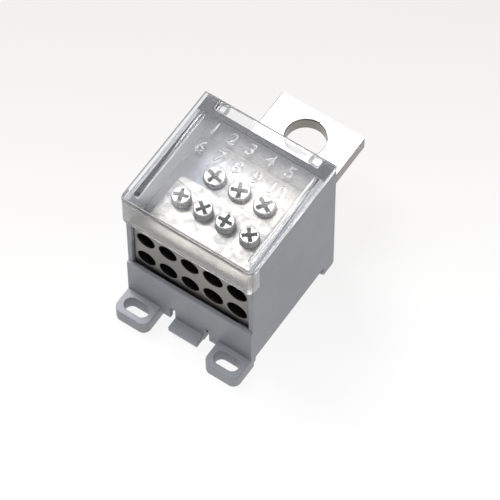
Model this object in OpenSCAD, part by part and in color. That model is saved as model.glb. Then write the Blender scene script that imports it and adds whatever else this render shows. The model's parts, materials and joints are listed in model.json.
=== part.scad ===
// Power distribution block: one busbar feeds ten wire bores under a clear hinged cover.
// X runs across the block, Y from the wire side to the busbar side, Z up from the mounting plane.
// The origin lies on the mounting plane, midway between the two foot slots.

/* [Housing] */
// Width across the two side walls
body_w = 45; // [44:0.5:60]
// Depth from the front panel's face to the rear edges of the side walls
body_d = 44.8; // [44:0.2:60]
// Height of the side walls above the mounting plane
wall_h = 56; // [54:0.5:70]
// Thickness of the side walls
wall_t = 1.6; // [1.2:0.1:2]
// Thickness of the floor over the rail
floor_t = 2; // [1.5:0.1:3]
// Height of the front panel's top edge
panel_h = 21.3; // [19:0.1:22]
// Thickness of the front panel
panel_t = 1.5; // [1:0.1:1.7]
// How far the front panel stands in front of the side walls
panel_proud = 0.9; // [0.5:0.1:1.2]
// Thickness of the rear wall
rear_wall_t = 2.2; // [1.6:0.1:2.6]
// Width of the shelves that carry the terminal block
shelf_w = 4.4; // [3:0.2:6]
// Bevel on the rear corners of the side walls
edge_r = 0.8; // [0.4:0.1:1.2]

/* [Rail and feet] */
// Width of the standard rail
rail_w = 35; // [35:0.5:35]
// Play of the rail between its two stops
rail_play = 1; // [0.6:0.1:1.5]
// Depth of the rail recess in the underside
rail_depth = 4.3; // [3.5:0.1:5]
// Distance from the panel's face to the front end of the recess
rail_setback = 3.2; // [2.6:0.1:3.6]
// How far each rail hook reaches under the rail
hook_reach = 1.2; // [0.8:0.1:1.6]
// Thickness of the rail edge that the hooks grip
rail_edge = 1.3; // [1.1:0.1:1.6]
// Thickness of the hooks at their tips, ahead of the sloped lead-in
hook_tip = 0.9; // [0.6:0.1:1.2]
// Width of each foot
foot_w = 12.2; // [11:0.2:13]
// How far the feet stand in front of the panel
foot_reach = 8.3; // [7.6:0.1:11]
// Thickness of the feet
foot_t = 5.4; // [4:0.1:6]
// Radius of the feet's front corners
foot_r = 2.6; // [1.5:0.1:3]
// End-to-end length of the foot slots
slot_l = 8.4; // [6:0.1:9]
// Width of the foot slots
slot_w = 4.5; // [3.5:0.1:5]
// Distance from the panel's face to the slots' centre line
slot_setback = 4.1; // [3.6:0.1:5]
// Width of the flexing rail latch
latch_w = 10.6; // [8:0.2:12]
// Width of the slit on each side of the latch
slit_w = 1.7; // [1:0.1:2.2]
// Height of the slits' upper ends
slit_h = 8.3; // [7:0.1:10]
// How far the window in the floor over the latch's hook reaches past the hook
hook_window = 1.6; // [1:0.1:3]
// How far the latch's release lip stands forward
lip_reach = 3.8; // [2:0.1:5]

/* [Terminal block] */
// Diameter of the bores for the smaller wires
small_bore_d = 6.4; // [5:0.1:6.6]
// Diameter of the bores for the larger wires
large_bore_d = 7.1; // [6:0.1:7.2]
// Columns of smaller bores
small_columns = 3; // [3:1:3]
// Columns of larger bores
large_columns = 2; // [2:1:2]
// Metal left beside the outer bores at each end of the block
bore_margin = 0.9; // [0.7:0.1:1.4]
// Height of the lower row of small bores
lower_row_z = 26.2; // [25.8:0.1:27]
// Distance between the two rows of bores
row_pitch = 10.2; // [9.5:0.1:10.6]
// How much higher the larger bores sit
large_bore_lift = 0.6; // [0:0.1:0.7]
// Depth of the wire bores
bore_depth = 15; // [14:0.5:16]
// Metal left before and behind the holes of the block screws
hole_wall = 0.5; // [0.4:0.1:0.8]
// Distance from the panel's face to the block's front face
block_setback = 2.1; // [1.9:0.1:2.6]
// Depth of the block from front to back
block_d = 36; // [34:0.5:37]
// Height of the block's underside
block_z = 20; // [19:0.2:20.4]
// Height of the block's rear deck
deck_z = 43.2; // [42.6:0.1:44]
// How far the front pad stands above the deck
pad_rise = 1.3; // [0.8:0.1:2]
// Width of the front pad
pad_w = 34.8; // [33:0.2:36]
// Depth of the front pad
pad_d = 20.4; // [19.6:0.1:21]
// Radius of the pad's rear corners
pad_r = 2; // [1:0.1:3]

/* [Screws] */
// Diameter of the front clamp screws
front_screw_d = 6; // [5:0.1:6.4]
// How far the front clamp screws stand above the pad when open
front_screw_proud = 3; // [2:0.1:4]
// Distance from the block's face to the front row of screws
front_row_y = 13.1; // [11.8:0.1:13.6]
// Diameter of the rear clamp screws
rear_screw_d = 6.8; // [5:0.1:7]
// How far the rear clamp screws stand above the deck when closed
rear_screw_proud = 1.8; // [1:0.1:3]
// Distance between the rear clamp screws
rear_pitch = 8.85; // [8:0.05:9.2]
// Distance from the busbar's inner end to the rear row of screws
rear_row_inset = 3.8; // [3:0.1:5]
// Diameter of the screws that hold the block in the housing
block_screw_d = 3.5; // [3:0.1:3.8]
// Distance between the two block screws
block_screw_pitch = 20; // [18:0.5:24]

/* [Busbar] */
// Width of the busbar
bar_w = 30; // [26:0.5:32]
// Thickness of the busbar
bar_t = 5; // [4:0.1:5.4]
// Height of the busbar's top face
bar_top_z = 28; // [27.6:0.1:28.6]
// Distance from the panel's face to the busbar's free end
bar_end_y = 72.5; // [66:0.5:90]
// Diameter of the bolt hole in the busbar
bar_hole_d = 13; // [8:0.5:13]
// Distance from the bolt hole's centre to the free end
bar_hole_edge = 9.8; // [9:0.1:12]

/* [Cover] */
// Thickness of the cover's top plate
cover_t = 2.2; // [1.6:0.1:3]
// How far the cover stands past each side wall
cover_over = 0.8; // [0.6:0.1:1.2]
// Thickness of the cover's front lip
cover_lip_t = 1.2; // [1:0.1:1.4]
// Height of the front lip's lower edge
cover_lip_z = 46; // [45.8:0.1:48]
// Radius of the cover's front corners, seen from above
cover_r = 2; // [1:0.1:2.5]
// How far the lip's ends wrap round the side walls
cover_wrap = 3; // [2:0.1:5]
// Height of the locating ribs under the plate
cover_rib_h = 2.2; // [1.5:0.1:3]
// Thickness of the locating ribs
cover_rib_t = 1.2; // [0.8:0.1:1.6]
// Diameter of the hinge pins
pin_d = 2.4; // [2:0.1:2.6]
// Length of the hinge pins
pin_l = 1.9; // [1.5:0.1:2.2]
// Width of the hinge knuckles
knuckle_w = 3.2; // [2.5:0.1:5]
// Depth of the hinge's axis below the walls' top edges
hinge_drop = 2; // [1.9:0.1:2.4]
// Plastic left beyond the inner ends of the pin holes
ear_skin = 2.1; // [1.6:0.1:3]
// Height of the ears' straight part below the hinge's axis
ear_drop = 5; // [3:0.5:7]

/* [Clearances] */
// Gap between parts that move past each other
move_gap = 0.3; // [0.2:0.05:0.4]
// Radial running clearance of pins and screws
run_gap = 0.05; // [0.03:0.01:0.08]
// Gap round the block and the busbar
fit_gap = 0.4; // [0.3:0.05:0.5]

/* [Hidden] */
$fn = 48;
EPS = 0.01;

inner_w = body_w - 2 * wall_t;
wall_front = panel_proud;
block_w = inner_w - 2 * fit_gap;
block_back = block_setback + block_d;
rear_wall_y = block_back + fit_gap;
floor_z = rail_depth + floor_t;
pad_z = deck_z + pad_rise;
rail_front = rail_setback;
rail_back = rail_setback + rail_w + rail_play;
hook_top = rail_depth - rail_edge;
hook_low = hook_top / 4;
foot_x = body_w / 2 - foot_w / 2;

// Wire bores: centres across the block, from the diameters and the web left between them
bore_d = concat(
    [for (i = [1:small_columns]) small_bore_d],
    [for (i = [1:large_columns]) large_bore_d]
);
columns = len(bore_d);
bore_span = block_w - 2 * bore_margin;
bore_web = (bore_span - small_columns * small_bore_d - large_columns * large_bore_d) / (columns - 1);
function span_before(i) = i == 0 ? 0 : span_before(i - 1) + bore_d[i - 1] + bore_web;
function bore_x(i) = -bore_span / 2 + span_before(i) + bore_d[i] / 2;
function web_x(i) = bore_x(i) + (bore_d[i] + bore_web) / 2;
function bore_z(i, row) = lower_row_z + row * row_pitch + (i < small_columns ? 0 : large_bore_lift);
upper_top = max([for (i = [0:columns - 1]) bore_z(i, 1) + bore_d[i] / 2]);

front_hole_z = lower_row_z + row_pitch + small_bore_d / 8;
front_screw_l = pad_z + front_screw_proud - upper_top - move_gap;
bore_tip = large_bore_d / 5;
block_seat_z = rail_depth + block_screw_d * 0.8;
block_head_r = block_screw_d * 0.95;
block_screw_top = block_z + block_screw_d * 1.5;
block_hole_r = block_screw_d / 2 + run_gap;
block_screw_y = block_setback + bore_depth + bore_tip + hole_wall + block_hole_r;
bar_slot_y = block_screw_y + block_hole_r + hole_wall;
bar_front = bar_slot_y + fit_gap;
bar_slot_z = bar_top_z + run_gap;
rear_row_y = bar_front + rear_row_inset;

knuckle_r = knuckle_w * 0.6;
knuckle_back = 1;
hinge_y = rear_wall_y + rear_wall_t + move_gap + knuckle_r;
hinge_z = wall_h - hinge_drop;
ear_w = pin_l + ear_skin;
ear_x = body_w / 2 - ear_w;
cover_z = wall_h + move_gap;
cover_w = body_w + 2 * cover_over;
cover_front = wall_front - move_gap - cover_lip_t;
cover_back = hinge_y + knuckle_back;
pocket_r = cover_r / 5;

PLASTIC = [0.53, 0.55, 0.58];
CLEAR = [0.86, 0.88, 0.9, 0.45];
TINNED = [0.8, 0.79, 0.76];
STEEL = [0.72, 0.72, 0.7];

// Everything is drawn from the panel's face and then set on the slots' centre line
module placed() translate([0, slot_setback, 0]) children();

// A block that is centred on X and stands between two depths and two heights
module bar(w, y0, y1, z0, z1) translate([-w / 2, y0, z0]) cube([w, y1 - y0, z1 - z0]);

// The same block between two X values, drawn on both sides
module pair(x0, x1, y0, y1, z0, z1)
    for (s = [-1, 1])
        translate([s > 0 ? x0 : -x1, y0, z0]) cube([x1 - x0, y1 - y0, z1 - z0]);

// A side profile of [y, z] points that is drawn out across X, half to each side
module across(w, points) rotate([90, 0, 90]) linear_extrude(w, center = true) polygon(points);

// An outline that starts square at Y = 0 and ends at Y = l with two rounded corners
module tab_outline(w, l, r) {
    translate([-w / 2, 0]) square([w, l - r]);
    translate([r - w / 2, 0]) square([w - 2 * r, l]);
    for (s = [-1, 1])
        translate([s * (w / 2 - r), l - r]) circle(r);
}

// The same outline with its rounded end forward: from the square end at y1 to y0
module front_tab(w, y0, y1, r) translate([0, y1]) mirror([0, 1]) tab_outline(w, y1 - y0, r);

module slot_outline() {
    translate([foot_x, -slot_setback]) {
        square([slot_l - slot_w, slot_w], center = true);
        for (s = [-1, 1])
            translate([s * (slot_l - slot_w) / 2, 0]) circle(slot_w / 2);
    }
}

module feet() {
    for (s = [0, 1])
        mirror([s, 0, 0])
            difference() {
                linear_extrude(foot_t)
                    translate([foot_x, 0]) front_tab(foot_w, -foot_reach, panel_t, foot_r);
                translate([0, 0, -EPS]) linear_extrude(foot_t + 2 * EPS) slot_outline();
            }
}

// Side walls, with the rail recess cut out below and the rear leg that ends in the fixed hook
module side_walls() {
    for (s = [-1, 1])
        translate([s * (body_w - wall_t) / 2, 0, 0])
            across(wall_t, [
                [wall_front, rail_depth], [wall_front, wall_h],
                [body_d - edge_r, wall_h], [body_d, wall_h - edge_r],
                [body_d, edge_r], [body_d - edge_r, 0],
                [rail_back, 0], [rail_back, rail_depth]
            ]);
}

module front_panel() {
    panel_low = hook_top - hook_low;
    difference() {
        union() {
            bar(body_w, 0, panel_t, panel_low, panel_h);
            pair(inner_w / 2, body_w / 2, 0, wall_front + wall_t, panel_low, panel_h);
            bar(inner_w, 0, rail_front, rail_depth, floor_z);
        }
        pair(latch_w / 2, latch_w / 2 + slit_w, -EPS, panel_t + EPS, -EPS, slit_h);
    }
}

// The moulded spring tongue, from its release lip to the tip of its hook. It bends forward
// at the slits' ends when the rail presses on the hook's slope, and when the lip is pulled.
module rail_latch() {
    tip_y = rail_front + hook_reach;
    lip_low = hook_low + 1;
    across(latch_w, [
        [-lip_reach, lip_low], [0, lip_low], [0, hook_low], [rail_front, hook_low],
        [tip_y, hook_top - hook_tip], [tip_y, hook_top], [panel_t, hook_top],
        [panel_t, rail_depth + EPS], [0, rail_depth + EPS],
        [0, hook_top + 1], [-lip_reach, hook_top + 1]
    ]);
}

// Rear wall between the ears, with the busbar's window, and the leg with the fixed hook
module rear_structure() {
    tip_y = rail_back - hook_reach;
    difference() {
        bar(inner_w + EPS, rear_wall_y, rear_wall_y + rear_wall_t, rail_depth, wall_h);
        bar(bar_w + 2 * fit_gap, rear_wall_y - EPS, rear_wall_y + rear_wall_t + EPS,
            bar_top_z - bar_t - fit_gap, bar_top_z + fit_gap);
    }
    across(body_w, [
        [body_d - edge_r, 0], [body_d - edge_r, floor_z], [rail_back, floor_z],
        [rail_back, hook_top], [tip_y, hook_top], [tip_y, hook_top - hook_tip],
        [rail_back, hook_low], [rail_back, 0]
    ]);
}

// Ears that carry the hinge pins, with a sloped underside
module hinge_ears() {
    for (s = [0, 1])
        mirror([s, 0, 0])
            difference() {
                translate([(body_w - ear_w) / 2, 0, 0])
                    across(ear_w, [
                        [rear_wall_y, wall_h], [body_d - edge_r, wall_h],
                        [body_d, wall_h - edge_r], [body_d, hinge_z - ear_drop],
                        [rear_wall_y, hinge_z - ear_drop - ear_w]
                    ]);
                translate([ear_x - EPS, hinge_y, hinge_z])
                    rotate([0, 90, 0]) cylinder(h = pin_l + move_gap, r = pin_d / 2 + run_gap);
            }
}

module base_housing() {
    pillar_wall = 0.8;
    pillar_r = block_head_r + pillar_wall;
    color(PLASTIC)
        placed()
            difference() {
                union() {
                    side_walls();
                    front_panel();
                    rail_latch();
                    feet();
                    bar(inner_w + EPS, rail_front - EPS, rail_back + EPS, rail_depth, floor_z);
                    rear_structure();
                    hinge_ears();
                    pair(inner_w / 2 - shelf_w, inner_w / 2 + EPS, panel_t - EPS, rear_wall_y + EPS,
                         rail_depth, block_z);
                    for (s = [-1, 1])
                        translate([s * block_screw_pitch / 2, block_screw_y, floor_z - EPS])
                            cylinder(h = block_z - floor_z + EPS, r = pillar_r);
                }
                bar(latch_w + 2 * slit_w, panel_t, rail_front + hook_reach + hook_window,
                    rail_depth - EPS, floor_z + EPS);
                for (s = [-1, 1])
                    translate([s * block_screw_pitch / 2, block_screw_y, 0]) {
                        cylinder(h = block_z + EPS, r = block_hole_r);
                        cylinder(h = block_seat_z, r = block_head_r + run_gap);
                    }
            }
}

module wire_bore(i, row)
    translate([bore_x(i), block_setback - EPS, bore_z(i, row)])
        rotate([-90, 0, 0]) {
            cylinder(h = bore_depth + EPS, d = bore_d[i]);
            translate([0, 0, bore_depth])
                cylinder(h = bore_tip, d1 = bore_d[i], d2 = bore_d[i] / 4);
        }

module terminal_block() {
    color(TINNED)
        placed()
            difference() {
                union() {
                    bar(block_w, block_setback, block_back, block_z, deck_z);
                    translate([0, block_setback, deck_z - EPS])
                        linear_extrude(pad_rise + EPS) tab_outline(pad_w, pad_d, pad_r);
                }
                for (row = [0, 1], i = [0:columns - 1]) wire_bore(i, row);
                for (i = [0:columns - 2])
                    translate([web_x(i), block_setback + front_row_y, front_hole_z])
                        cylinder(h = pad_z, d = front_screw_d + 2 * run_gap);
                for (i = [-1:1])
                    translate([i * rear_pitch, rear_row_y, bar_slot_z - EPS])
                        cylinder(h = pad_z, d = rear_screw_d + 2 * run_gap);
                bar(bar_w + 2 * fit_gap, bar_slot_y, block_back + EPS, bar_top_z - bar_t, bar_slot_z);
                for (s = [-1, 1])
                    translate([s * block_screw_pitch / 2, block_screw_y, block_z - EPS])
                        cylinder(h = block_screw_top - block_z + move_gap, r = block_hole_r);
            }
}

module busbar() {
    color(TINNED)
        placed()
            difference() {
                bar(bar_w, bar_front, bar_end_y, bar_top_z - bar_t, bar_top_z);
                translate([0, bar_end_y - bar_hole_edge, bar_top_z - bar_t - EPS])
                    cylinder(h = bar_t + 2 * EPS, d = bar_hole_d);
            }
}

// A headless clamp screw with a chamfered rim, a cross recess and a pointed tip; z is its top
module clamp_screw(d, l) {
    rim = 0.5;
    point = 0.9;
    arm = d * 0.62;
    blade = d * 0.17;
    recess = d * 0.3;
    difference() {
        rotate_extrude()
            polygon([
                [0, -l], [d / 2 - point, -l], [d / 2, point - l],
                [d / 2, -rim], [d / 2 - rim, 0], [0, 0]
            ]);
        for (a = [0, 90])
            rotate([0, 0, a + 20])
                translate([-arm / 2, -blade / 2, -recess]) cube([arm, blade, d]);
        translate([0, 0, -recess]) cylinder(h = d, d1 = blade, d2 = d * 1.25);
    }
}

module front_clamp_screw(i)
    color(STEEL)
        placed()
            translate([web_x(i - 1), block_setback + front_row_y, pad_z + front_screw_proud])
                clamp_screw(front_screw_d, front_screw_l);

module rear_clamp_screw(i)
    color(STEEL)
        placed()
            translate([(i - 2) * rear_pitch, rear_row_y, deck_z + rear_screw_proud])
                clamp_screw(rear_screw_d, deck_z + rear_screw_proud - bar_top_z);

// The screws that come up through the housing's pillars into the block
module block_screw(s) {
    head_h = block_screw_d * 0.6;
    slot_t = 0.8;
    color(STEEL)
        placed()
            translate([s * block_screw_pitch / 2, block_screw_y, block_seat_z])
                difference() {
                    union() {
                        translate([0, 0, -head_h]) cylinder(h = head_h, r = block_head_r - run_gap);
                        cylinder(h = block_screw_top - block_seat_z, d = block_screw_d);
                    }
                    for (a = [0, 90])
                        rotate([0, 0, a])
                            translate([-block_screw_d / 2, -slot_t / 2, -head_h - EPS])
                                cube([block_screw_d, slot_t, head_h * 0.6]);
                }
}

// The plate, and the lip below it as one wall that follows the rim round both front corners
module cover_shell() {
    lip_h = cover_z - cover_lip_z;
    lip_end = cover_front + cover_lip_t + cover_wrap;
    translate([0, 0, cover_z])
        linear_extrude(cover_t) front_tab(cover_w, cover_front, cover_back, cover_r);
    translate([0, 0, cover_lip_z])
        difference() {
            linear_extrude(lip_h + EPS) front_tab(cover_w, cover_front, lip_end, cover_r);
            translate([0, 0, -EPS])
                linear_extrude(lip_h + 3 * EPS)
                    front_tab(body_w + move_gap, cover_front + cover_lip_t, lip_end + EPS, pocket_r);
        }
}

// Ribs under the plate that locate it between the side walls
module cover_ribs() {
    x1 = inner_w / 2 - move_gap;
    swing_gap = move_gap + 0.5;
    pair(x1 - cover_rib_t, x1, cover_front + cover_lip_t + cover_wrap, rear_wall_y - swing_gap,
         cover_z - cover_rib_h, cover_z + EPS);
}

module cover_hinge(s) {
    x1 = ear_x - move_gap;
    end_play = 0.2;
    mirror([s, 0, 0]) {
        translate([x1 - knuckle_w, hinge_y, hinge_z])
            rotate([0, 90, 0]) cylinder(h = knuckle_w, r = knuckle_r);
        translate([x1 - knuckle_w, hinge_y - knuckle_r, hinge_z])
            cube([knuckle_w, knuckle_r + knuckle_back, cover_z - hinge_z + EPS]);
        translate([x1 - EPS, hinge_y, hinge_z])
            rotate([0, 90, 0]) cylinder(h = move_gap + pin_l - end_play, r = pin_d / 2);
    }
}

module clear_cover() {
    color(CLEAR)
        placed() {
            cover_shell();
            cover_ribs();
            for (s = [0, 1]) cover_hinge(s);
        }
}

base_housing();
clear_cover();
terminal_block();
busbar();
for (i = [1:4])
    front_clamp_screw(i);
for (i = [1:3])
    rear_clamp_screw(i);
block_screw(-1);  // block_screw_left
block_screw(1);  // block_screw_right
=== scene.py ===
# %% [markdown]
# # A power distribution block, dressed for a studio picture
# The block is a small product for a switch cabinet: one flat busbar feeds ten round wire bores.
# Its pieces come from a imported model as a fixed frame: one grey moulding, one clear cover, a
# plated metal block, a plated bar and nine screws. The frame has the true sizes and places, and
# nothing here moves it. What this script adds is what the eye needs: rounded moulded edges,
# threads and driver recesses on the screws, raised numbers on the cover, and every finish.

# %% Load the fixed frame
import json
import math

import bmesh
import bpy
import numpy as np
from mathutils import Matrix, Vector


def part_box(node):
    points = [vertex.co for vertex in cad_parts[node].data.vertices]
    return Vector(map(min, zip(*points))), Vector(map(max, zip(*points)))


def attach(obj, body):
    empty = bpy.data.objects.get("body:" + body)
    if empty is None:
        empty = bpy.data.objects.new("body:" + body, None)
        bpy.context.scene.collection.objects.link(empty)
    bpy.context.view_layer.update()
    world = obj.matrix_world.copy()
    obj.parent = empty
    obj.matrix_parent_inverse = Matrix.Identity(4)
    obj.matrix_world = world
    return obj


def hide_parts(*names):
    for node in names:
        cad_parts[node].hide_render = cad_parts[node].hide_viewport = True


MM = 0.001
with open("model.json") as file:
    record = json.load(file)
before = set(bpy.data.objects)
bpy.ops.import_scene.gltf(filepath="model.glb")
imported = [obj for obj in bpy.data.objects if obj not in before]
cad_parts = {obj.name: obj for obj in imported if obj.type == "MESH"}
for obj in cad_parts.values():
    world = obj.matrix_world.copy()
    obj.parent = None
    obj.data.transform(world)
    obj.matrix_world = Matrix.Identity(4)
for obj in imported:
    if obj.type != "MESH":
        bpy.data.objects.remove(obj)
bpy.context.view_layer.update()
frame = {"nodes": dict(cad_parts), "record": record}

# %% Read the places that later cells need
block_low, block_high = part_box("terminal_block")
cover_low, cover_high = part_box("clear_cover")
bar_low, bar_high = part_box("busbar")
wall_low, wall_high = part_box("base_housing")
FRONT_SCREWS = sorted(n for n in frame["nodes"] if n.startswith("front_clamp_screw"))
REAR_SCREWS = sorted(n for n in frame["nodes"] if n.startswith("rear_clamp_screw"))
BLOCK_SCREWS = sorted(n for n in frame["nodes"] if n.startswith("block_screw"))
NODE_BODY = {n: b for b, nodes in frame["record"]["behaviour"]["bodies"].items() for n in nodes}
SLOT = {p["node"]: p["material_slot"] for p in frame["record"]["subparts"]}
mounts = {m["name"]: m for m in frame["record"]["mounts"]}
print("screws:", FRONT_SCREWS + REAR_SCREWS + BLOCK_SCREWS)
print("bar in mm:", [round(v / MM, 1) for v in bar_high - bar_low])
print("housing in mm:", [round(v / MM, 1) for v in wall_high - wall_low])

# %% [markdown]
# ## The camera
# A product picture like this is taken from well above with a long lens, so that the parallel
# walls stay almost parallel. The camera is worked out from a target point, two angles and a
# distance. Its axes are built as a matrix, which also takes the small tilt of a hand-set tripod.

# %% Place the camera
VIEW_AZIMUTH = math.radians(34.57)
VIEW_ELEVATION = math.radians(59.97)
VIEW_TILT = math.radians(0.49)
VIEW_DISTANCE = 1.0806
LENS = 259.2
target = Vector((4.6, 29.85, 17.5)) * MM


def camera_axes(azimuth, elevation, tilt):
    """Right, up and back axes of a camera that looks down on the target, turned by a small tilt."""
    back = Vector(
        (
            math.sin(azimuth) * math.cos(elevation),
            -math.cos(azimuth) * math.cos(elevation),
            math.sin(elevation),
        )
    )
    level = Vector((math.cos(azimuth), math.sin(azimuth), 0))
    upright = back.cross(level)
    right = level * math.cos(tilt) - upright * math.sin(tilt)
    return right, back.cross(right), back


camera = bpy.data.objects.new("camera", bpy.data.cameras.new("camera"))
bpy.context.collection.objects.link(camera)
right, up, back = camera_axes(VIEW_AZIMUTH, VIEW_ELEVATION, VIEW_TILT)
camera.matrix_world = Matrix.Translation(target + back * VIEW_DISTANCE) @ Matrix(
    (right, up, back)
).transposed().to_4x4()
camera.data.lens = LENS
camera.data.clip_start, camera.data.clip_end = 0.05, 50
bpy.context.scene.camera = camera
print("camera stands", round(camera.location.z, 3), "m above the floor")

# %% [markdown]
# ## The studio
# The floor is a light table: a white sheet that glows by itself, so the object throws next to no
# shadow and its walls are lit from below as well. Towards the back of the table the glow falls
# off to a warm grey. The world is a dim dome with a brighter top: plated metal and clear plastic
# only look right when they have something light and something darker to mirror.

# %% Lay the floor
bpy.context.scene.view_settings.view_transform = "Standard"
FLOOR_SIZE = 6.0
GLOW_START, GLOW_END = -8 * MM, 117 * MM
GLOW_NEAR, GLOW_FAR = (0.9, 0.9, 0.9, 1), (0.75, 0.725, 0.71, 1)
PAPER_TONE = (0.1, 0.1, 0.1, 1)


def node(tree, kind, **values):
    """Adds a shader node, and sets its attributes and its inputs by name."""
    made = tree.nodes.new(kind)
    for key, value in values.items():
        if hasattr(made, key):
            setattr(made, key, value)
        else:
            made.inputs[key.replace("_", " ")].default_value = value
    return made


def new_material(name):
    """A material with an empty node tree and its output."""
    material = bpy.data.materials.new(name)
    material.use_nodes = True
    tree = material.node_tree
    tree.nodes.clear()
    return material, tree, tree.nodes.new("ShaderNodeOutputMaterial")


def grid_mesh(name, points, closed=False):
    """A mesh over a grid of points (rows, columns, 3). Closed rows end where they start."""
    rows, columns = points.shape[:2]
    index = np.arange(rows * columns).reshape(rows, columns)
    if closed:
        index = np.hstack([index, index[:, :1]])
    a, b = index[:-1, :-1], index[:-1, 1:]
    c, d = index[1:, 1:], index[1:, :-1]
    faces = np.stack([a, b, c, d], axis=-1).reshape(-1, 4)
    mesh = bpy.data.meshes.new(name)
    mesh.from_pydata(points.reshape(-1, 3).tolist(), [], faces.tolist())
    mesh.update()
    piece = bpy.data.objects.new(name, mesh)
    bpy.context.collection.objects.link(piece)
    return piece


u, v = np.meshgrid(np.linspace(-0.5, 0.5, 9), np.linspace(-0.5, 0.5, 9), indexing="ij")
floor_points = np.stack([u * FLOOR_SIZE, v * FLOOR_SIZE, np.zeros_like(u)], axis=-1)
floor = grid_mesh("floor", floor_points)
paper, tree, out = new_material("light_table")
place = node(tree, "ShaderNodeTexCoord")
away = node(tree, "ShaderNodeVectorMath", operation="DOT_PRODUCT")
away.inputs[1].default_value = (-math.sin(VIEW_AZIMUTH), math.cos(VIEW_AZIMUTH), 0)
fall = node(tree, "ShaderNodeMapRange")
fall.inputs["From Min"].default_value = GLOW_START
fall.inputs["From Max"].default_value = GLOW_END
glow = node(tree, "ShaderNodeMix", data_type="RGBA")
glow.inputs[6].default_value = GLOW_NEAR
glow.inputs[7].default_value = GLOW_FAR
sheet = node(tree, "ShaderNodeBsdfPrincipled", Roughness=0.9)
sheet.inputs["Base Color"].default_value = PAPER_TONE
sheet.inputs["Emission Strength"].default_value = 1.0
sheet.inputs["Specular IOR Level"].default_value = 0.0
tree.links.new(place.outputs["Object"], away.inputs[0])
tree.links.new(away.outputs["Value"], fall.inputs["Value"])
tree.links.new(fall.outputs["Result"], glow.inputs["Factor"])
tree.links.new(glow.outputs[2], sheet.inputs["Emission Color"])
tree.links.new(sheet.outputs["BSDF"], out.inputs["Surface"])
floor.data.materials.append(paper)
print("floor faces:", len(floor.data.polygons))

# %% Light the room
DOME_LOW, DOME_TOP = (0.2, 0.2, 0.21, 1), (0.75, 0.755, 0.77, 1)
world = bpy.data.worlds.new("soft_room")
bpy.context.scene.world = world
world.use_nodes = True
tree = world.node_tree
tree.nodes.clear()
dome = node(tree, "ShaderNodeTexCoord")
height = node(tree, "ShaderNodeSeparateXYZ")
tone = node(tree, "ShaderNodeValToRGB")
tone.color_ramp.elements[0].position = 0.55
tone.color_ramp.elements[0].color = DOME_LOW
tone.color_ramp.elements[1].position = 0.95
tone.color_ramp.elements[1].color = DOME_TOP
rise = node(tree, "ShaderNodeMath", operation="MULTIPLY_ADD")
rise.inputs[1].default_value = 0.5
rise.inputs[2].default_value = 0.5
light = node(tree, "ShaderNodeBackground", Strength=0.7)
tree.links.new(dome.outputs["Generated"], height.inputs["Vector"])
tree.links.new(height.outputs["Z"], rise.inputs[0])
tree.links.new(rise.outputs["Value"], tone.inputs["Fac"])
tree.links.new(tone.outputs["Color"], light.inputs["Color"])
sky = node(tree, "ShaderNodeOutputWorld")
tree.links.new(light.outputs["Background"], sky.inputs["Surface"])


def soft_lamp(name, azimuth, elevation, distance, size, power):
    """A square lamp that looks at the target from a compass angle and a height in degrees."""
    lamp = bpy.data.objects.new(name, bpy.data.lights.new(name, "AREA"))
    bpy.context.collection.objects.link(lamp)
    _, _, away = camera_axes(math.radians(azimuth), math.radians(elevation), 0)
    lamp.location = target + away * distance
    lamp.rotation_mode = "QUATERNION"
    lamp.rotation_quaternion = away.to_track_quat("Z", "Y")
    lamp.data.size = size
    lamp.data.energy = power


soft_lamp("key_lamp", azimuth=-105, elevation=55, distance=1.3, size=0.7, power=20)
soft_lamp("side_lamp", azimuth=75, elevation=55, distance=1.6, size=0.8, power=2.2)

# %% [markdown]
# ## Two panels for the cover to mirror
# A clear cover is hardly seen unless it mirrors something. A level mirror turns a ray that comes
# down from the eye up again: after a rise h it stands at p + (p - eye) * h / (height of the eye
# above the mirror). A small level panel hung there shows on the cover exactly over the area it
# was worked out from. A cool panel veils the left of the cover, a warm one its rear.

# %% Hang the panels
PANEL_RISE = 0.3
VEIL_LEFT, VEIL_SPLIT, VEIL_RIGHT = -21 * MM, -9 * MM, 21.5 * MM
VEIL_FRONT, VEIL_BACK = cover_low.y + 4 * MM, block_high.y - 3 * MM
GLARE_DEPTH = 13 * MM
HAZE_GLOW, HAZE_COLOUR = 3.3, (0.95, 0.96, 1)
GLARE_GLOW, GLARE_COLOUR = 5, (1, 0.975, 0.95)


def mirrored_panel(name, x_range, y_range, glow, colour):
    """A glowing level panel whose mirror image covers two ranges of X and Y on the cover."""
    lamp = bpy.data.objects.new(name, bpy.data.lights.new(name, "AREA"))
    bpy.context.collection.objects.link(lamp)
    eye = np.array(camera.location)
    low = np.array((x_range[0], y_range[0], cover_high.z))
    high = np.array((x_range[1], y_range[1], cover_high.z))
    climb = 1 + PANEL_RISE / (eye[2] - cover_high.z)
    low, high = eye + (low - eye) * climb, eye + (high - eye) * climb
    lamp.location = (*((low + high) / 2)[:2], cover_high.z + PANEL_RISE)
    lamp.data.shape = "RECTANGLE"
    lamp.data.size, lamp.data.size_y = high[0] - low[0], high[1] - low[1]
    lamp.data.energy = glow * math.pi * lamp.data.size * lamp.data.size_y
    lamp.data.color = colour
    lamp.visible_camera = False
    return lamp


haze_x, haze_y = (VEIL_LEFT, VEIL_SPLIT), (VEIL_FRONT, VEIL_BACK)
glare_x, glare_y = (VEIL_SPLIT, VEIL_RIGHT), (VEIL_BACK - GLARE_DEPTH, VEIL_BACK)
mirrored_panel("haze_panel", haze_x, haze_y, HAZE_GLOW, HAZE_COLOUR)
panel = mirrored_panel("glare_panel", glare_x, glare_y, GLARE_GLOW, GLARE_COLOUR)
print("glare panel:", round(panel.data.size / MM), "x", round(panel.data.size_y / MM), "mm")

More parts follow.
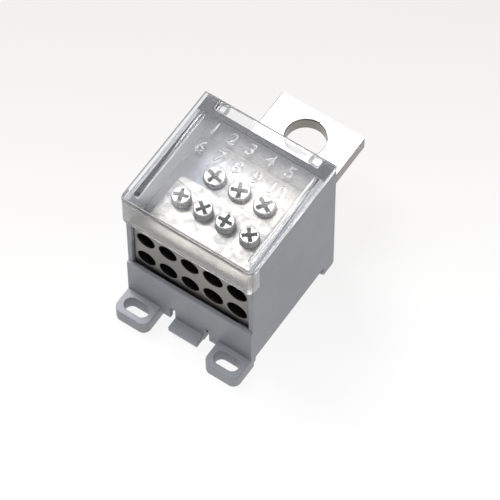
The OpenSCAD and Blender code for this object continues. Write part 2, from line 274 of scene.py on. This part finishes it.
# %% [markdown]
# ## Shader groups
# Effects that stand for themselves are node groups with named sockets. `fine grain` gives a
# moulded surface its spark-eroded texture: a noise in object space, as a height and as a small
# change of roughness. `soft variation` mixes two tones over some millimetres, so that no face is
# one flat colour. `facing` is a mask of the faces that look along one axis: |n . axis| between
# two limits. The last two come back on the plastic and on the metals.

# %% Build the fine grain group


def new_group(name, inputs, outputs):
    """A shader node group with named number, colour and vector sockets."""
    group = bpy.data.node_groups.new(name, "ShaderNodeTree")
    for key, kind, value in inputs:
        socket = group.interface.new_socket(key, in_out="INPUT", socket_type=kind)
        if value is not None:
            socket.default_value = value
    for key, kind in outputs:
        group.interface.new_socket(key, in_out="OUTPUT", socket_type=kind)
    return group, group.nodes.new("NodeGroupInput"), group.nodes.new("NodeGroupOutput")


NUMBER, COLOUR, VECTOR = "NodeSocketFloat", "NodeSocketColor", "NodeSocketVector"
GRAIN_RELIEF = 0.04 * MM

grain_group, gin, gout = new_group(
    "fine_grain",
    [
        ("Scale", NUMBER, 1500.0),
        ("Depth", NUMBER, 0.2),
        ("Roughness", NUMBER, 0.5),
        ("Spread", NUMBER, 0.1),
    ],
    [("Normal", VECTOR), ("Roughness", NUMBER)],
)
where = node(grain_group, "ShaderNodeTexCoord")
noise = node(grain_group, "ShaderNodeTexNoise", Detail=3.0)
bump = node(grain_group, "ShaderNodeBump", Distance=GRAIN_RELIEF)
swing = node(grain_group, "ShaderNodeMath", operation="SUBTRACT")
swing.inputs[1].default_value = 0.5
rough = node(grain_group, "ShaderNodeMath", operation="MULTIPLY_ADD")
grain_group.links.new(where.outputs["Object"], noise.inputs["Vector"])
grain_group.links.new(gin.outputs["Scale"], noise.inputs["Scale"])
grain_group.links.new(gin.outputs["Depth"], bump.inputs["Strength"])
grain_group.links.new(noise.outputs["Fac"], bump.inputs["Height"])
grain_group.links.new(noise.outputs["Fac"], swing.inputs[0])
grain_group.links.new(swing.outputs["Value"], rough.inputs[0])
grain_group.links.new(gin.outputs["Spread"], rough.inputs[1])
grain_group.links.new(gin.outputs["Roughness"], rough.inputs[2])
grain_group.links.new(bump.outputs["Normal"], gout.inputs["Normal"])
grain_group.links.new(rough.outputs["Value"], gout.inputs["Roughness"])
print(grain_group.name, "has", len(grain_group.nodes), "nodes")

# %% Build the soft variation group
CLOUD_LOW, CLOUD_HIGH = 0.36, 0.64
tone_group, gin, gout = new_group(
    "soft_variation",
    [("Dark", COLOUR, None), ("Light", COLOUR, None), ("Scale", NUMBER, 60.0)],
    [("Color", COLOUR)],
)
where = node(tone_group, "ShaderNodeTexCoord")
clouds = node(tone_group, "ShaderNodeTexNoise", Detail=3.0)
stretch = node(tone_group, "ShaderNodeMapRange")
stretch.inputs["From Min"].default_value = CLOUD_LOW
stretch.inputs["From Max"].default_value = CLOUD_HIGH
blend = node(tone_group, "ShaderNodeMix", data_type="RGBA")
tone_group.links.new(where.outputs["Object"], clouds.inputs["Vector"])
tone_group.links.new(gin.outputs["Scale"], clouds.inputs["Scale"])
tone_group.links.new(clouds.outputs["Fac"], stretch.inputs["Value"])
tone_group.links.new(stretch.outputs["Result"], blend.inputs["Factor"])
tone_group.links.new(gin.outputs["Dark"], blend.inputs[6])
tone_group.links.new(gin.outputs["Light"], blend.inputs[7])
tone_group.links.new(blend.outputs[2], gout.inputs["Color"])
print(tone_group.name, "has", len(tone_group.nodes), "nodes")

# %% Build the facing group
facing_group, gin, gout = new_group(
    "facing",
    [("Axis", VECTOR, None), ("Low", NUMBER, 0.5), ("High", NUMBER, 0.9)],
    [("Mask", NUMBER)],
)
where = node(facing_group, "ShaderNodeTexCoord")
along = node(facing_group, "ShaderNodeVectorMath", operation="DOT_PRODUCT")
size = node(facing_group, "ShaderNodeMath", operation="ABSOLUTE")
step = node(facing_group, "ShaderNodeMapRange")
facing_group.links.new(where.outputs["Normal"], along.inputs[0])
facing_group.links.new(gin.outputs["Axis"], along.inputs[1])
facing_group.links.new(along.outputs["Value"], size.inputs[0])
facing_group.links.new(size.outputs["Value"], step.inputs["Value"])
facing_group.links.new(gin.outputs["Low"], step.inputs["From Min"])
facing_group.links.new(gin.outputs["High"], step.inputs["From Max"])
facing_group.links.new(step.outputs["Result"], gout.inputs["Mask"])
print(facing_group.name, "has", len(facing_group.nodes), "nodes")


def group_node(tree, group, **values):
    """Places a node group in a tree with its own values."""
    made = tree.nodes.new("ShaderNodeGroup")
    made.node_tree = group
    for key, value in values.items():
        made.inputs[key].default_value = value
    return made


def mixed(tree, factor, first, second):
    """A colour mix: each colour is a socket, or four numbers."""
    made = node(tree, "ShaderNodeMix", data_type="RGBA")
    tree.links.new(factor, made.inputs["Factor"])
    for slot, colour in ((6, first), (7, second)):
        if isinstance(colour, tuple):
            made.inputs[slot].default_value = colour
        else:
            tree.links.new(colour, made.inputs[slot])
    return made.outputs[2]


def ramp_between(tree, value, start, end, low=0.0, high=1.0):
    """Runs from low where the value is start to high where it is end, and is held outside.

    A place runs in metres along one axis, and a mask from 0 to 1.
    """
    made = node(tree, "ShaderNodeMapRange")
    made.inputs["From Min"].default_value = start
    made.inputs["From Max"].default_value = end
    made.inputs["To Min"].default_value = low
    made.inputs["To Max"].default_value = high
    tree.links.new(value, made.inputs["Value"])
    return made.outputs["Result"]


def product(tree, first, second):
    """Two masks multiplied: what lies in both."""
    made = node(tree, "ShaderNodeMath", operation="MULTIPLY")
    tree.links.new(first, made.inputs[0])
    tree.links.new(second, made.inputs[1])
    return made.outputs["Value"]


def place_outputs(tree):
    """The X, Y and Z of a point in its own object, as outputs by name."""
    where = node(tree, "ShaderNodeTexCoord")
    split = node(tree, "ShaderNodeSeparateXYZ")
    tree.links.new(where.outputs["Object"], split.inputs["Vector"])
    return split.outputs


def srgb(r, g, b):
    """Linear colour of an sRGB one of 0 to 255: the curve is a power above its short toe."""
    c = np.array([r, g, b]) / 255
    linear = np.where(c <= 0.04045, c / 12.92, ((c + 0.055) / 1.055) ** 2.4)
    return (*linear.tolist(), 1.0)


# %% [markdown]
# ## Moulded grey plastic
# The housing is filled polyamide: mid grey with a trace of blue, matt, with the fine texture of
# its eroded mould. A Principled shader with a rough, weak gloss and a very shallow grain gives
# that. Two places under the cover carry painted light and shade. A painted shade darkens the rim
# behind the block, where the hinge shades it. A painted light brightens the upright walls of the
# pocket, for the light they gather from the plated block. Each place is a product of masks along
# X, Y and Z.

# %% Mix the housing's plastic
UP = (0, 0, 1)
RIM_DEPTH = 0.5 * MM
POCKET_DEPTH = 12 * MM
POCKET_MARGIN = 0.6 * MM
MASK_EDGE = 0.1 * MM
# Painted shade for the rim behind the block, painted light for the pocket's upright walls
RIM_PAINTED_SHADE, POCKET_PAINTED_LIGHT = srgb(55, 56, 62), srgb(178, 179, 185)
housing_plastic, tree, out = new_material("housing_plastic")
shade = node(tree, "ShaderNodeBsdfPrincipled", IOR=1.5)
grain = group_node(tree, grain_group, Scale=1800.0, Depth=0.25, Roughness=0.46, Spread=0.2)
tones = group_node(
    tree, tone_group, Dark=srgb(142, 145, 151), Light=srgb(149, 152, 158), Scale=70.0
)
tree.links.new(grain.outputs["Normal"], shade.inputs["Normal"])
tree.links.new(grain.outputs["Roughness"], shade.inputs["Roughness"])
spot = place_outputs(tree)
# The rim behind the block, at the top of the wall: a painted shade
behind = ramp_between(tree, spot["Y"], block_high.y - MASK_EDGE, block_high.y + MASK_EDGE)
rim_start = wall_high.z - RIM_DEPTH
at_top = ramp_between(tree, spot["Z"], rim_start, rim_start + 2 * MASK_EDGE)
rim_shaded = mixed(tree, product(tree, behind, at_top), tones.outputs["Color"], RIM_PAINTED_SHADE)
# The upright walls of the pocket round the block: a painted light
width = node(tree, "ShaderNodeMath", operation="ABSOLUTE")
tree.links.new(spot["X"], width.inputs[0])
side_end, back_end = block_high.x + POCKET_MARGIN, block_high.y + POCKET_MARGIN
within = ramp_between(tree, width.outputs["Value"], side_end, side_end - MASK_EDGE)
before = ramp_between(tree, spot["Y"], back_end, back_end - MASK_EDGE)
pocket_start = block_high.z - POCKET_DEPTH
above = ramp_between(tree, spot["Z"], pocket_start, pocket_start + 10 * MASK_EDGE)
level = group_node(tree, facing_group, Axis=UP, Low=0.5, High=0.3)
pocket = product(tree, product(tree, within, before), product(tree, above, level.outputs["Mask"]))
painted_light_and_shade = mixed(tree, pocket, rim_shaded, POCKET_PAINTED_LIGHT)
tree.links.new(painted_light_and_shade, shade.inputs["Base Color"])
tree.links.new(shade.outputs["BSDF"], out.inputs["Surface"])
print("housing plastic:", len(tree.nodes), "nodes")

# %% [markdown]
# ## Tin plate
# The block, the bar and the screws are plated. Tin is a soft white metal: it mirrors, but its
# fine crystals spread the mirror image, so the roughness is medium and changes a little over the
# surface. The block was cut by a saw and milled, which leaves faint lines along one direction. Its
# deck lies a step under the front pad, and carries a painted shade towards the left, darker and
# bluer.
# The block's faces that look along Y have a darker tone of the same metal. The bar's sides and
# edges carry a painted shade over the duller metal of a cut edge, and the flanks of a screw a
# painted shade. The darkest tone is a painted shade in a recess or a thread, and it follows an
# attribute of the mesh.

# %% Mix the plated metals
LINE_RELIEF = 0.03 * MM


def plated_metal(name, dark, light, roughness, spread, lines=(1, 1, 1), scale=900.0, depth=0.12):
    """A plated metal: two tones, a grain that may be drawn out into lines, and a soft gloss."""
    material, tree, out = new_material(name)
    shade = node(tree, "ShaderNodeBsdfPrincipled", Metallic=1.0)
    tones = group_node(tree, tone_group, Dark=dark, Light=light, Scale=120.0)
    where = node(tree, "ShaderNodeTexCoord")
    draw = node(tree, "ShaderNodeMapping")
    draw.inputs["Scale"].default_value = lines
    noise = node(tree, "ShaderNodeTexNoise", Scale=scale, Detail=3.0)
    span = node(tree, "ShaderNodeMapRange")
    span.inputs["To Min"].default_value = roughness - spread / 2
    span.inputs["To Max"].default_value = roughness + spread / 2
    bump = node(tree, "ShaderNodeBump", Strength=depth, Distance=LINE_RELIEF)
    tree.links.new(where.outputs["Object"], draw.inputs["Vector"])
    tree.links.new(draw.outputs["Vector"], noise.inputs["Vector"])
    tree.links.new(noise.outputs["Fac"], span.inputs["Value"])
    tree.links.new(noise.outputs["Fac"], bump.inputs["Height"])
    tree.links.new(span.outputs["Result"], shade.inputs["Roughness"])
    tree.links.new(bump.outputs["Normal"], shade.inputs["Normal"])
    tree.links.new(tones.outputs["Color"], shade.inputs["Base Color"])
    tree.links.new(shade.outputs["BSDF"], out.inputs["Surface"])
    return material, tree, shade, tones


# The deck's painted shade: darkest and bluest left of the first X, gone right of the second
DECK_SHADE_X, DECK_LIT_X = -14 * MM, 6 * MM
DECK_UNDER_PAD = 0.4 * MM
Y_FACE_TONE = srgb(130, 127, 123)
block_metal, tree, shade, tones = plated_metal(
    "tin_plated_block", srgb(150, 147, 143), srgb(202, 199, 192), 0.4, 0.24, lines=(0.15, 1, 1)
)
tones.inputs["Scale"].default_value = 420.0
spot = place_outputs(tree)
# A painted shade over the deck, darker and bluer towards the left
across = ramp_between(tree, spot["X"], DECK_SHADE_X, DECK_LIT_X)
deck_dark = mixed(tree, across, srgb(104, 108, 116), srgb(150, 146, 141))
deck_light = mixed(tree, across, srgb(122, 126, 134), srgb(206, 202, 194))
deck_shaded_tones = group_node(tree, tone_group, Scale=260.0)
tree.links.new(deck_dark, deck_shaded_tones.inputs["Dark"])
tree.links.new(deck_light, deck_shaded_tones.inputs["Light"])
pad_end = block_high.z - DECK_UNDER_PAD
on_deck = ramp_between(tree, spot["Z"], pad_end, pad_end - 0.5 * MM)
top_tone = mixed(tree, on_deck, tones.outputs["Color"], deck_shaded_tones.outputs["Color"])
# Faces that look along Y take a darker tone of the same metal
y_faces = group_node(tree, facing_group, Axis=(0, 1, 0))
block_tone = mixed(tree, y_faces.outputs["Mask"], top_tone, Y_FACE_TONE)
print("block metal:", len(tree.nodes), "nodes before the bores are darkened")

# %% Paint shade into the wire bores, over their duller raw metal
BORE_START, BORE_ROOF = 0.1 * MM, 2.6 * MM
# Painted shade inside the bores, over the duller raw metal of their walls
BORE_PAINTED_SHADE = srgb(85, 83, 81)
bore_y, roof_z = block_low.y + BORE_START, block_high.z - BORE_ROOF
inside = ramp_between(tree, spot["Y"], bore_y, bore_y + 0.4 * MM)
below = ramp_between(tree, spot["Z"], roof_z, roof_z - 0.6 * MM)
shaded_bores = mixed(tree, product(tree, inside, below), block_tone, BORE_PAINTED_SHADE)
tree.links.new(shaded_bores, shade.inputs["Base Color"])
print("block metal:", len(tree.nodes), "nodes")

# %% Mix the bar's and the screws' metal
# Painted shade: the bar's sides and edges over the duller metal of a cut edge, the screws' flanks,
# and their recesses and threads
BAR_EDGE_SHADE, SCREW_FLANK_SHADE, RECESS_PAINTED_SHADE = srgb(138, 134, 130), srgb(132, 130, 128), srgb(52, 51, 50)
bar_metal, tree, shade, tones = plated_metal(
    "tin_plated_bar", srgb(233, 233, 231), srgb(244, 244, 242), 0.3, 0.1, lines=(1, 0.08, 1)
)
# The bar's faces that don't look up carry the painted shade
flat = group_node(tree, facing_group, Axis=UP, Low=0.75, High=0.995)
bar_tone = mixed(tree, flat.outputs["Mask"], BAR_EDGE_SHADE, tones.outputs["Color"])
tree.links.new(bar_tone, shade.inputs["Base Color"])
screw_metal, tree, shade, tones = plated_metal(
    "zinc_plated_steel", srgb(196, 196, 193), srgb(222, 221, 216), 0.24, 0.14, scale=1600.0
)
# Painted shade in the cross recess and the thread, weighted by the depth attribute
sunk = node(tree, "ShaderNodeAttribute", attribute_name="depth")
crown = group_node(tree, facing_group, Axis=UP, Low=0.2, High=0.6)
head_and_flank_shade = mixed(tree, crown.outputs["Mask"], SCREW_FLANK_SHADE, tones.outputs["Color"])
recess_shaded = mixed(tree, sunk.outputs["Fac"], head_and_flank_shade, RECESS_PAINTED_SHADE)
tree.links.new(recess_shaded, shade.inputs["Base Color"])
print("screw metal:", len(tree.nodes), "nodes")

# %% [markdown]
# ## Clear polycarbonate
# The cover is clear plastic with an index of refraction of about 1.58, so its edges gather light
# and its top mirrors the lamps. A path tracer finds no straight way from a lamp through glass,
# which would leave the inside black, so for shadow rays the cover is a plain see-through sheet.
# Light that a matt face gathers, or that another piece mirrors, must then take the same plain
# way, or it would be counted twice. Such a mirrored ray meets the cover from outside first. A ray
# that meets the back of a face without having passed one runs within the plastic, and stays there.
#
# The top and the underside are smooth. The upright faces are frosted, and the lip carries a
# painted tint, warm and a little darker, for the light and shade its thick edge gathers.

# %% Mix the cover's plastic
LIP_DEPTH = 4 * MM
SMOOTH, FROST_RIB, FROST_LIP = 0.06, 0.5, 0.22
# The lip's tint is painted: warm and a little darker, for the light and shade its thick edge
# gathers
CLEAR, LIP_PAINTED_TINT = (0.93, 0.935, 0.95, 1), (0.79, 0.77, 0.745, 1)
SHEET_TINT = (0.94, 0.945, 0.95, 1)
clear_plastic, tree, out = new_material("clear_polycarbonate")
shade = node(tree, "ShaderNodeBsdfPrincipled", IOR=1.58)
shade.inputs["Transmission Weight"].default_value = 0.98
upright = group_node(tree, facing_group, Axis=UP, Low=0.97, High=0.6)
frost = node(tree, "ShaderNodeMapRange")
frost.inputs["To Min"].default_value = SMOOTH
tree.links.new(upright.outputs["Mask"], frost.inputs["Value"])
tree.links.new(frost.outputs["Result"], shade.inputs["Roughness"])
spot = place_outputs(tree)
lip_end = cover_low.y + LIP_DEPTH
in_lip = ramp_between(tree, spot["Y"], lip_end, lip_end - 0.5 * MM)
side_frost = ramp_between(tree, in_lip, 0, 1, FROST_RIB, FROST_LIP)
tree.links.new(side_frost, frost.inputs["To Max"])
# The painted tint on the lip's upright faces
lip_painted_tint = mixed(tree, product(tree, upright.outputs["Mask"], in_lip), CLEAR, LIP_PAINTED_TINT)
tree.links.new(lip_painted_tint, shade.inputs["Base Color"])
open_shade = node(tree, "ShaderNodeBsdfTransparent")
open_shade.inputs["Color"].default_value = SHEET_TINT
path = node(tree, "ShaderNodeLightPath")
side = node(tree, "ShaderNodeNewGeometry")
entered = node(tree, "ShaderNodeMath", operation="SUBTRACT", use_clamp=True)
not_within = node(tree, "ShaderNodeMath", operation="SUBTRACT", use_clamp=True)
mirrored = node(tree, "ShaderNodeMath", operation="SUBTRACT", use_clamp=True)
gathered = node(tree, "ShaderNodeMath", operation="MAXIMUM")
plain = node(tree, "ShaderNodeMath", operation="MAXIMUM")
choose = node(tree, "ShaderNodeMixShader")
tree.links.new(side.outputs["Backfacing"], entered.inputs[0])
tree.links.new(path.outputs["Transparent Depth"], entered.inputs[1])
tree.links.new(path.outputs["Is Glossy Ray"], not_within.inputs[0])
tree.links.new(entered.outputs["Value"], not_within.inputs[1])
tree.links.new(not_within.outputs["Value"], mirrored.inputs[0])
tree.links.new(path.outputs["Is Transmission Ray"], mirrored.inputs[1])
tree.links.new(path.outputs["Is Diffuse Ray"], gathered.inputs[0])
tree.links.new(mirrored.outputs["Value"], gathered.inputs[1])
tree.links.new(gathered.outputs["Value"], plain.inputs[0])
tree.links.new(path.outputs["Is Shadow Ray"], plain.inputs[1])
tree.links.new(plain.outputs["Value"], choose.inputs["Fac"])
tree.links.new(shade.outputs["BSDF"], choose.inputs[1])
tree.links.new(open_shade.outputs["BSDF"], choose.inputs[2])
tree.links.new(choose.outputs["Shader"], out.inputs["Surface"])

MATERIALS = {
    "housing_grey": housing_plastic,
    "clear_polycarbonate": clear_plastic,
    "plated_block": block_metal,
    "plated_bar": bar_metal,
    "screw_steel": screw_metal,
}
for name, cad_object in frame["nodes"].items():
    cad_object.data.materials.clear()
    cad_object.data.materials.append(MATERIALS[SLOT[name]])
print("materials:", sorted(MATERIALS))

# %% [markdown]
# ## Rounded edges
# A moulded edge is never sharp: the tool leaves a radius of a few tenths of a millimetre, and
# that is what catches the light. The frame's own meshes are loose triangles, so each piece is
# copied, its corners are merged, its flat faces are joined, and a Bevel modifier rounds what is
# left. A second modifier gives each corner the normal of its largest face, so that flat faces stay
# flat in the light. The copy stands for the frame's node and rides on the same body.

# %% Round the edges of a piece
MERGE = 0.002 * MM
FLAT_WITHIN = math.radians(0.2)


def rounded(name, width, segments=3, angle=32):
    """A copy of a CAD node with merged corners, joined flat faces and rounded edges."""
    mesh = frame["nodes"][name].data.copy()
    work = bmesh.new()
    work.from_mesh(mesh)
    bmesh.ops.remove_doubles(work, verts=work.verts, dist=MERGE)
    bmesh.ops.dissolve_limit(
        work, angle_limit=FLAT_WITHIN, verts=work.verts, edges=work.edges, delimit=set()
    )
    work.to_mesh(mesh)
    work.free()
    mesh.shade_smooth()
    mesh.set_sharp_from_angle(angle=math.radians(angle))
    piece = bpy.data.objects.new(name + "_finish", mesh)
    bpy.context.collection.objects.link(piece)
    bevel = piece.modifiers.new("edge_radius", "BEVEL")
    bevel.width = width
    bevel.segments = segments
    bevel.limit_method = "ANGLE"
    bevel.angle_limit = math.radians(angle)
    bevel.use_clamp_overlap = False
    bevel.miter_outer = "MITER_ARC"
    level = piece.modifiers.new("flat_faces", "WEIGHTED_NORMAL")
    level.mode, level.weight, level.keep_sharp = "FACE_AREA", 100, True
    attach(piece, NODE_BODY[name])
    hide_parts(name)
    print(name, "has", len(mesh.polygons), "faces before its edges are rounded")


rounded("base_housing", 0.28 * MM)
rounded("terminal_block", 0.12 * MM, segments=2)
rounded("busbar", 0.35 * MM)
rounded("clear_cover", 0.4 * MM)

# %% [markdown]
# ## Clamp screws
# Each clamp screw is a headless steel screw with a metric thread and a cross recess in its top.
# The frame's screw is plain, because its thread carries nothing there. The visible one is a
# single surface of two parameters: the angle round the axis, and the way from the middle of the
# top, over the rim, down the thread to the tip. The thread is a triangle wave of height plus
# angle, which makes one continuous ridge. The recess is a height taken off the top face, and
# its depth is a share of the screw's radius.

# %% Work out a threaded screw
RECESS_DEPTH = 0.62


def smooth(x):
    """The cubic that runs from 0 to 1 with level ends, held at 0 before and at 1 after."""
    x = np.clip(x, 0, 1)
    return x * x * (3 - 2 * x)


def cross_depth(x, y, radius):
    """Depth of a cross recess: two arms, deepest where they meet, that end short of the rim."""
    reach, half, soft = 0.8 * radius, 0.17 * radius, 0.06 * radius
    depth = np.zeros_like(x)
    for along, across in ((x, y), (y, x)):
        arm = smooth((half - np.abs(across)) / soft + 0.5) * smooth((reach - np.abs(along)) / soft)
        fall = 1 - 0.55 * np.clip(np.abs(along) / reach, 0, 1)
        depth = np.maximum(depth, RECESS_DEPTH * radius * arm * fall)
    return depth


def screw_points(low, high, pitch, turn, angles=96, top_rings=44):
    """Points of a threaded screw in its CAD node's box, and how deep each of them lies."""
    radius = (high.x - low.x) / 2
    length = high.z - low.z
    rim, point, root = 0.12 * radius, 0.3 * radius, 0.6 * pitch
    angle = np.linspace(0, 2 * np.pi, angles, endpoint=False)[None, :]
    ring = np.linspace(0.004, 1, top_rings)[:, None] * (radius - rim)
    x, y = ring * np.cos(angle), ring * np.sin(angle)
    c, s = math.cos(turn), math.sin(turn)
    sunk = cross_depth(c * x + s * y, c * y - s * x, radius)
    top = np.stack([x, y, -sunk], axis=-1)
    down = np.linspace(0, length, int(length / pitch * 12))[:, None]
    wave = np.abs(2 * np.mod(down / pitch + angle / (2 * np.pi), 1) - 1)
    ramp = smooth((down - rim) / pitch) * smooth((length - down - point) / pitch)
    groove = wave * ramp
    shape = np.minimum(radius - rim + down, radius - 1.2 * np.clip(down - length + point, 0, None))
    reach = np.minimum(shape, radius) - root * groove * 0.9
    side = np.stack([reach * np.cos(angle), reach * np.sin(angle), -down + 0 * angle], axis=-1)
    points = np.concatenate([top, side[1:]])
    sunk_share = sunk / (RECESS_DEPTH * radius)
    deep = np.concatenate([sunk_share, 0.8 * groove[1:] + 0 * angle])
    centre = np.array([(low.x + high.x) / 2, (low.y + high.y) / 2, high.z])
    return points + centre, deep


def threaded_screw(name, pitch, turn):
    """The visible screw of a CAD node: one closed surface with its depth kept as an attribute."""
    low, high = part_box(name)
    points, deep = screw_points(low, high, pitch, turn)
    piece = grid_mesh(name + "_threaded", points, closed=True)
    mesh = piece.data
    work = bmesh.new()
    work.from_mesh(mesh)
    layer = work.verts.layers.float.new("depth")
    work.verts.ensure_lookup_table()
    for vertex, value in zip(work.verts, deep.ravel()):
        vertex[layer] = value
    bmesh.ops.holes_fill(work, edges=[e for e in work.edges if e.is_boundary], sides=0)
    bmesh.ops.recalc_face_normals(work, faces=work.faces)
    work.to_mesh(mesh)
    work.free()
    mesh.shade_smooth()
    mesh.set_sharp_from_angle(angle=math.radians(50))
    mesh.materials.append(MATERIALS[SLOT[name]])
    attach(piece, NODE_BODY[name])
    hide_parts(name)
    return piece


THREAD_PITCH = 1.0 * MM
FIRST_TURN, NEXT_TURN = 18, 37
for count, name in enumerate(FRONT_SCREWS + REAR_SCREWS):
    screw = threaded_screw(name, THREAD_PITCH, math.radians(FIRST_TURN + NEXT_TURN * count))
print("one screw has", len(screw.data.polygons), "faces")

# %% [markdown]
# ## Raised numbers
# Clear covers carry raised marks from the mould. Here they are plain terminal numbers, one for
# each wire bore: the upper row behind, the lower row before it. Each number is a text object that
# is thickened and then turned into a mesh, so that its place can go into its points.

# %% Raise the numbers on the cover
NUMBER_HEIGHT = 4.2 * MM
NUMBER_RISE = 0.45 * MM
NUMBER_EDGE = 0.04 * MM
CAPITAL_SHARE = 0.7


def raised_number(text, x, y):
    """One number on the cover's top face, centred on a point, as a mesh of the clear plastic."""
    curve = bpy.data.curves.new("number_" + text, "FONT")
    curve.body = text
    curve.size = NUMBER_HEIGHT / CAPITAL_SHARE
    curve.align_x, curve.align_y = "CENTER", "CENTER"
    curve.extrude = NUMBER_RISE / 2
    curve.bevel_depth = NUMBER_EDGE
    curve.resolution_u = 3
    drawn = bpy.data.objects.new("drawn", curve)
    bpy.context.collection.objects.link(drawn)
    graph = bpy.context.evaluated_depsgraph_get()
    mesh = bpy.data.meshes.new_from_object(drawn.evaluated_get(graph))
    bpy.data.objects.remove(drawn)
    mesh.transform(Matrix.Translation((x, y, cover_high.z + NUMBER_RISE / 2)))
    mesh.materials.clear()
    mesh.materials.append(MATERIALS["clear_polycarbonate"])
    piece = bpy.data.objects.new("cover_number_" + text, mesh)
    bpy.context.collection.objects.link(piece)
    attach(piece, "cover")


# The first number of each row, and the row's place as a share of the cover's depth
NUMBER_ROWS = {"upper": (1, 0.765), "lower": (6, 0.605)}
NUMBER_CLOSER = 0.82
for row, (first, share) in NUMBER_ROWS.items():
    for column in range(5):
        bore = mounts[f"{row}_wire_bore_{column + 1}"]
        depth = cover_low.y + share * (cover_high.y - cover_low.y)
        raised_number(str(first + column), bore["pos_m"][0] * NUMBER_CLOSER, depth)
